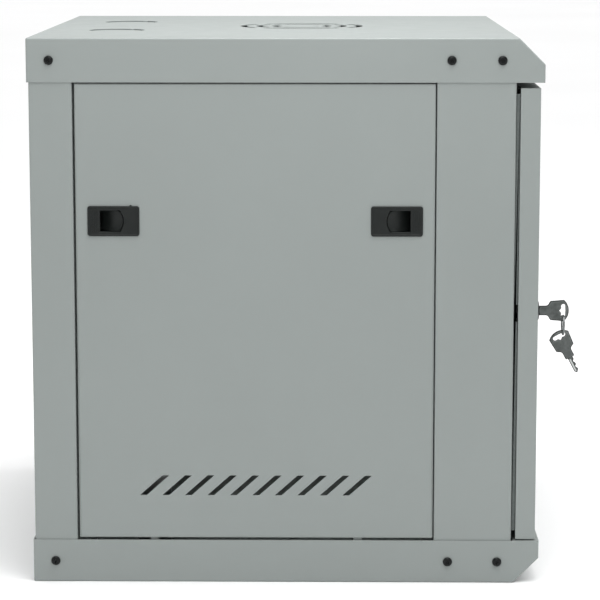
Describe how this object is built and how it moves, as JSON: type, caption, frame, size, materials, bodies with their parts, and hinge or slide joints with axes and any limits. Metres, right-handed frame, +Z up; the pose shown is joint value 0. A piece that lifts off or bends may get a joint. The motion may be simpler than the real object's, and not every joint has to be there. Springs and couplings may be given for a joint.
{
  "type": "wall mount rack cabinet",
  "caption": "Wall-mount 19-inch network cabinet with a lockable glazed front door, lift-out side panels with slide latches, and folded top and base trays.",
  "frame": {"origin": "underside of the base tray, in the middle of its 600 by 595 mm outline", "axes": "+Z up, front door faces -Y, the wall is at +Y, +X to the right of someone facing the front"},
  "size_m": [0.6068, 0.6407, 0.64],
  "materials": {
    "grey_paint": "light grey powder coat with a fine texture, satin",
    "zinc_steel": "bright zinc plate",
    "black_screw": "black zinc, satin",
    "black_plastic": "moulded, lightly grained",
    "lock_metal": "dark nickel plate",
    "key_nickel": "nickel plate, lightly worn",
    "seal_rubber": "matt",
    "grey_foam": "closed-cell foam, matt",
    "door_glass": "clear tempered glass with a light grey tint"
  },
  "bodies": {
    "cabinet": {"bottom_tray": "grey_paint", "top_tray": "grey_paint", "rear_panel": "grey_paint", "front_post_left": "grey_paint", "front_post_right": "grey_paint", "front_header": "grey_paint", "front_sill": "grey_paint", "door_buffer_strip": "grey_foam", "depth_rail_bottom_left": "grey_paint", "depth_rail_bottom_right": "grey_paint", "depth_rail_top_left": "grey_paint", "depth_rail_top_right": "grey_paint", "front_mounting_rail_left": "zinc_steel", "front_mounting_rail_right": "zinc_steel", "rear_mounting_rail_left": "zinc_steel", "rear_mounting_rail_right": "zinc_steel", "front_rail_bolt_bottom_left": "zinc_steel", "front_rail_bolt_bottom_right": "zinc_steel", "front_rail_bolt_top_left": "zinc_steel", "front_rail_bolt_top_right": "zinc_steel", "rear_rail_bolt_bottom_left": "zinc_steel", "rear_rail_bolt_bottom_right": "zinc_steel", "rear_rail_bolt_top_left": "zinc_steel", "rear_rail_bolt_top_right": "zinc_steel", "screw_bottom_rear_left": "black_screw", "screw_bottom_rear_right": "black_screw", "screw_bottom_mid_left": "black_screw", "screw_bottom_mid_right": "black_screw", "screw_bottom_front_left": "black_screw", "screw_bottom_front_right": "black_screw", "screw_top_rear_left": "black_screw", "screw_top_rear_right": "black_screw", "screw_top_mid_left": "black_screw", "screw_top_mid_right": "black_screw", "screw_top_front_left": "black_screw", "screw_top_front_right": "black_screw", "earth_stud": "zinc_steel"},
    "door": {"door_frame": "grey_paint", "door_glass": "door_glass", "glass_seal": "seal_rubber", "hinge_pin_bottom": "zinc_steel", "lock_housing": "lock_metal", "lock_nut": "lock_metal"},
    "top_hinge_pin": {"hinge_pin_top": "zinc_steel"},
    "lock_plug": {"lock_plug": "lock_metal", "lock_cam": "zinc_steel", "cam_nut": "zinc_steel"},
    "key": {"key": "key_nickel"},
    "key_ring": {"key_ring": "key_nickel"},
    "spare_key": {"spare_key": "key_nickel"},
    "side_panel_left": {"side_panel_left": "grey_paint", "latch_housing_front_left": "black_plastic", "latch_housing_rear_left": "black_plastic"},
    "latch_slider_front_left": {"latch_slider_front_left": "black_plastic"},
    "latch_slider_rear_left": {"latch_slider_rear_left": "black_plastic"},
    "side_panel_right": {"side_panel_right": "grey_paint", "latch_housing_front_right": "black_plastic", "latch_housing_rear_right": "black_plastic"},
    "latch_slider_front_right": {"latch_slider_front_right": "black_plastic"},
    "latch_slider_rear_right": {"latch_slider_rear_right": "black_plastic"}
  },
  "joints": [
    {"name": "door_hinge", "type": "hinge", "parent": "cabinet", "child": "door", "pos_m": [0.288, -0.2815, 0.31745], "axis": [0, 0, 1], "range_deg": [0, 180]},
    {"name": "hinge_pin_draw", "type": "slide", "parent": "door", "child": "top_hinge_pin", "axis": [0, 0, -1], "range_m": [0, 0.007], "stiffness_N_per_m": 500, "springref_m": -0.005},
    {"name": "lock_turn", "type": "hinge", "parent": "door", "child": "lock_plug", "pos_m": [-0.272, -0.293, 0.3209], "axis": [0, 1, 0], "range_deg": [0, 90]},
    {"name": "key_pull", "type": "slide", "parent": "lock_plug", "child": "key", "axis": [0, -1, 0], "range_m": [0, 0.028]},
    {"name": "ring_swing", "type": "hinge", "parent": "key", "child": "key_ring", "pos_m": [-0.272, -0.3245, 0.3148], "axis": [1, 0, 0], "range_deg": [-45, 30]},
    {"name": "spare_key_swing", "type": "hinge", "parent": "key_ring", "child": "spare_key", "pos_m": [-0.272, -0.3245, 0.2928], "axis": [1, 0, 0], "range_deg": [-40, 40]},
    {"name": "side_panel_left_tilt", "type": "hinge", "parent": "cabinet", "child": "side_panel_left", "pos_m": [-0.2975, 0.0351, 0.0508], "axis": [0, 1, 0], "range_deg": [-12, 0]},
    {"name": "latch_front_left_slide", "type": "slide", "parent": "side_panel_left", "child": "latch_slider_front_left", "axis": [0, -1, 0], "range_m": [0, 0.0075]},
    {"name": "latch_rear_left_slide", "type": "slide", "parent": "side_panel_left", "child": "latch_slider_rear_left", "axis": [0, 1, 0], "range_m": [0, 0.0075]},
    {"name": "side_panel_right_tilt", "type": "hinge", "parent": "cabinet", "child": "side_panel_right", "pos_m": [0.2975, 0.0351, 0.0508], "axis": [0, -1, 0], "range_deg": [-12, 0]},
    {"name": "latch_front_right_slide", "type": "slide", "parent": "side_panel_right", "child": "latch_slider_front_right", "axis": [0, -1, 0], "range_m": [0, 0.0075]},
    {"name": "latch_rear_right_slide", "type": "slide", "parent": "side_panel_right", "child": "latch_slider_rear_right", "axis": [0, 1, 0], "range_m": [0, 0.0075]}
  ]
}
